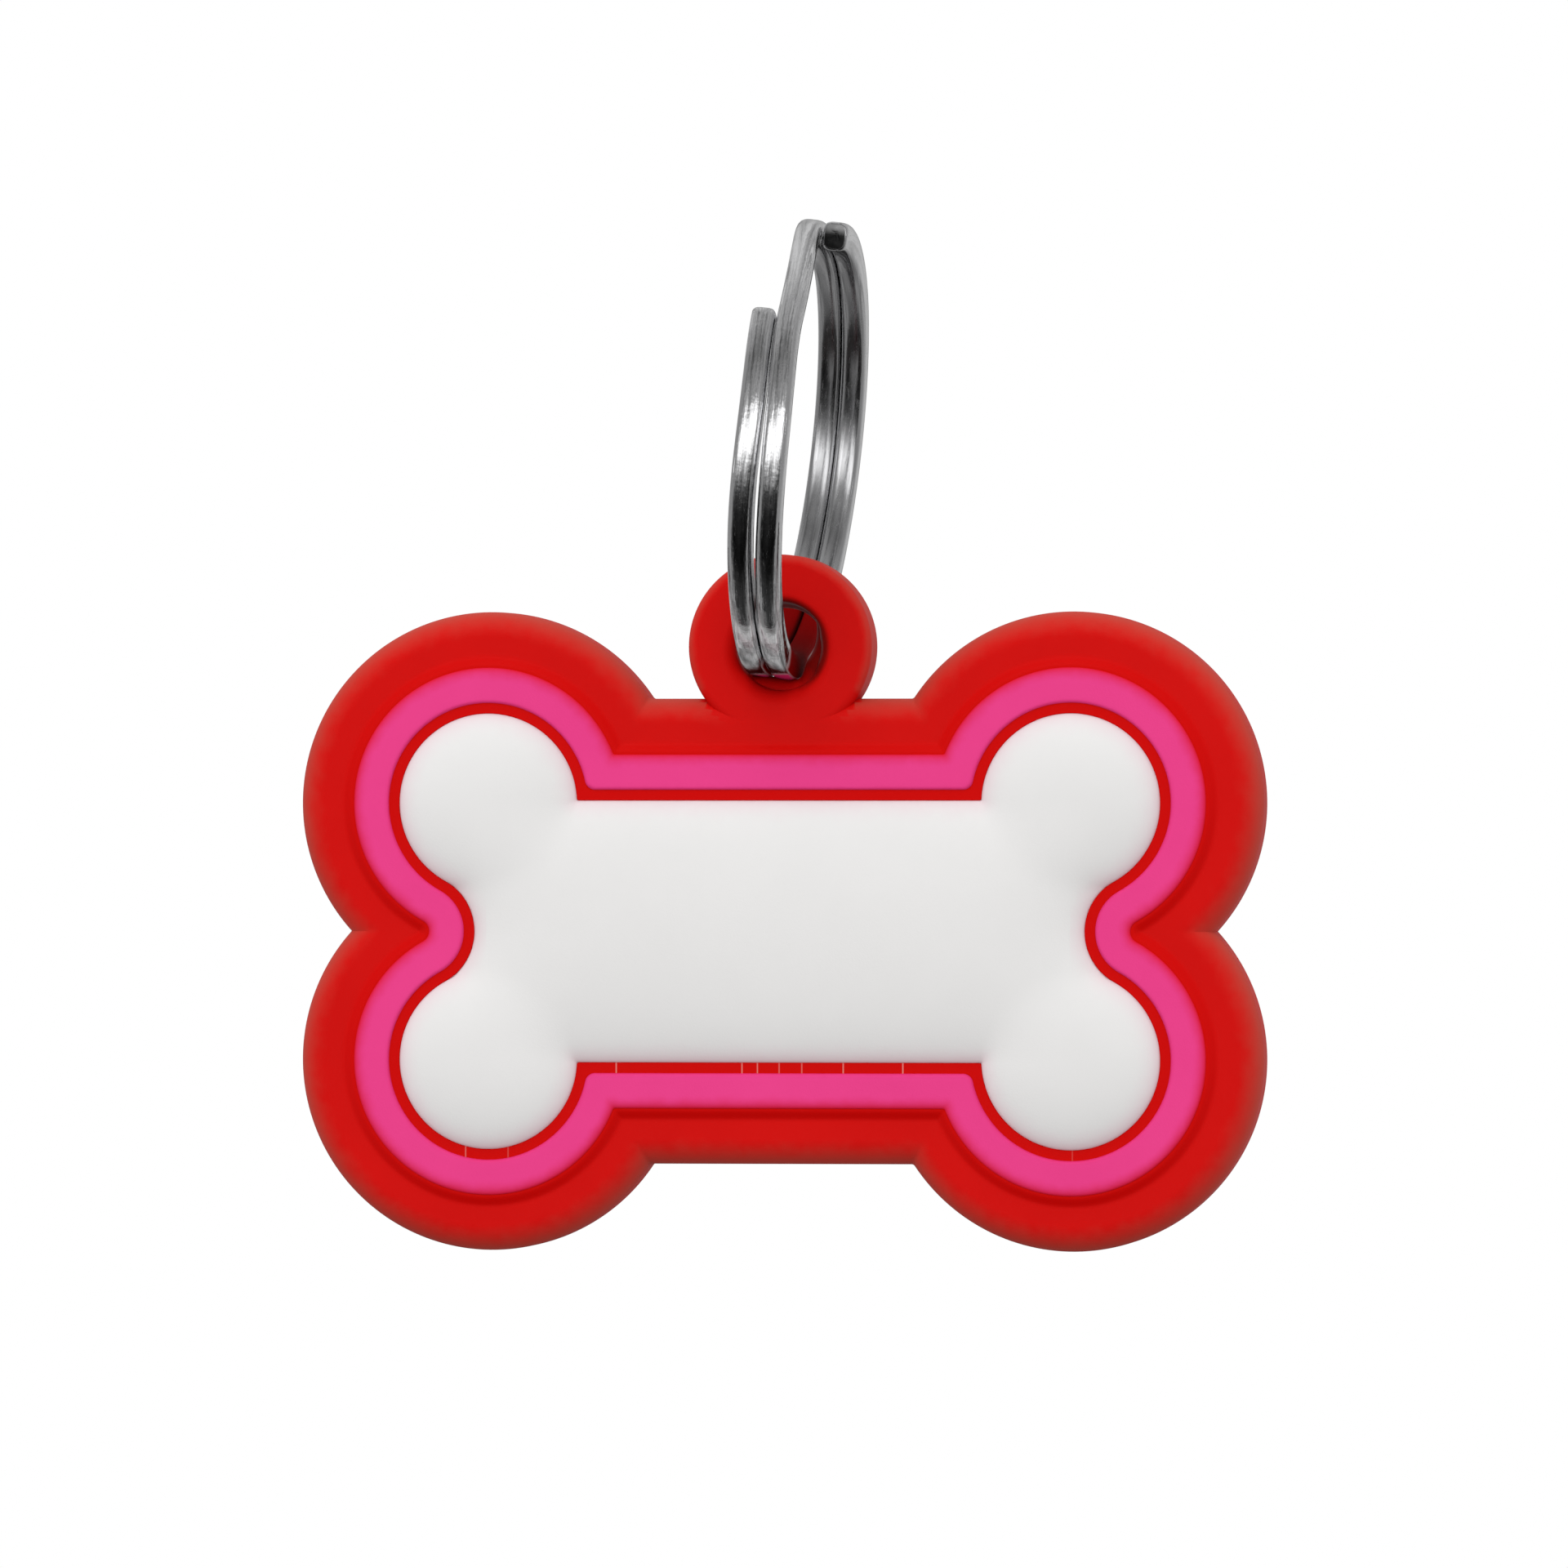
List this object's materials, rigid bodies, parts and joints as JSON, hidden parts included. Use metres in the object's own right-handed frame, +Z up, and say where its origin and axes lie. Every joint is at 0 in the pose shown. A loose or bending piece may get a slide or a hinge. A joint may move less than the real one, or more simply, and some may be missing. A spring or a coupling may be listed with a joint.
{
  "type": "pet id tag",
  "caption": "Bone-shaped soft rubber pet id tag with a blank domed writing panel inside a flat coloured band, hung by its top tab from a steel split ring.",
  "frame": {"origin": "the inside of the split ring's top, midway between its two turns, where a collar's loop bears", "axes": "+Z up, away from the tag; +X along the bone to the right as the written face is seen; -Y out of the written face"},
  "size_m": [0.042, 0.02, 0.0448],
  "materials": {
    "red_rubber": "satin moulded soft rubber, red",
    "pink_rubber": "satin moulded soft rubber, pink",
    "white_rubber": "smooth satin moulded soft rubber, white",
    "polished_steel": "polished nickel-plated spring steel"
  },
  "bodies": {
    "split_ring": {"split_ring": "polished_steel"},
    "tag": {"red_body": "red_rubber", "pink_band": "pink_rubber", "white_panel": "white_rubber"}
  },
  "joints": [
    {"name": "tag_swing", "type": "hinge", "parent": "split_ring", "child": "tag", "pos_m": [-0.00176, 0, -0.01725], "axis": [0, 1, 0], "range_deg": [-78, 90]}
  ]
}
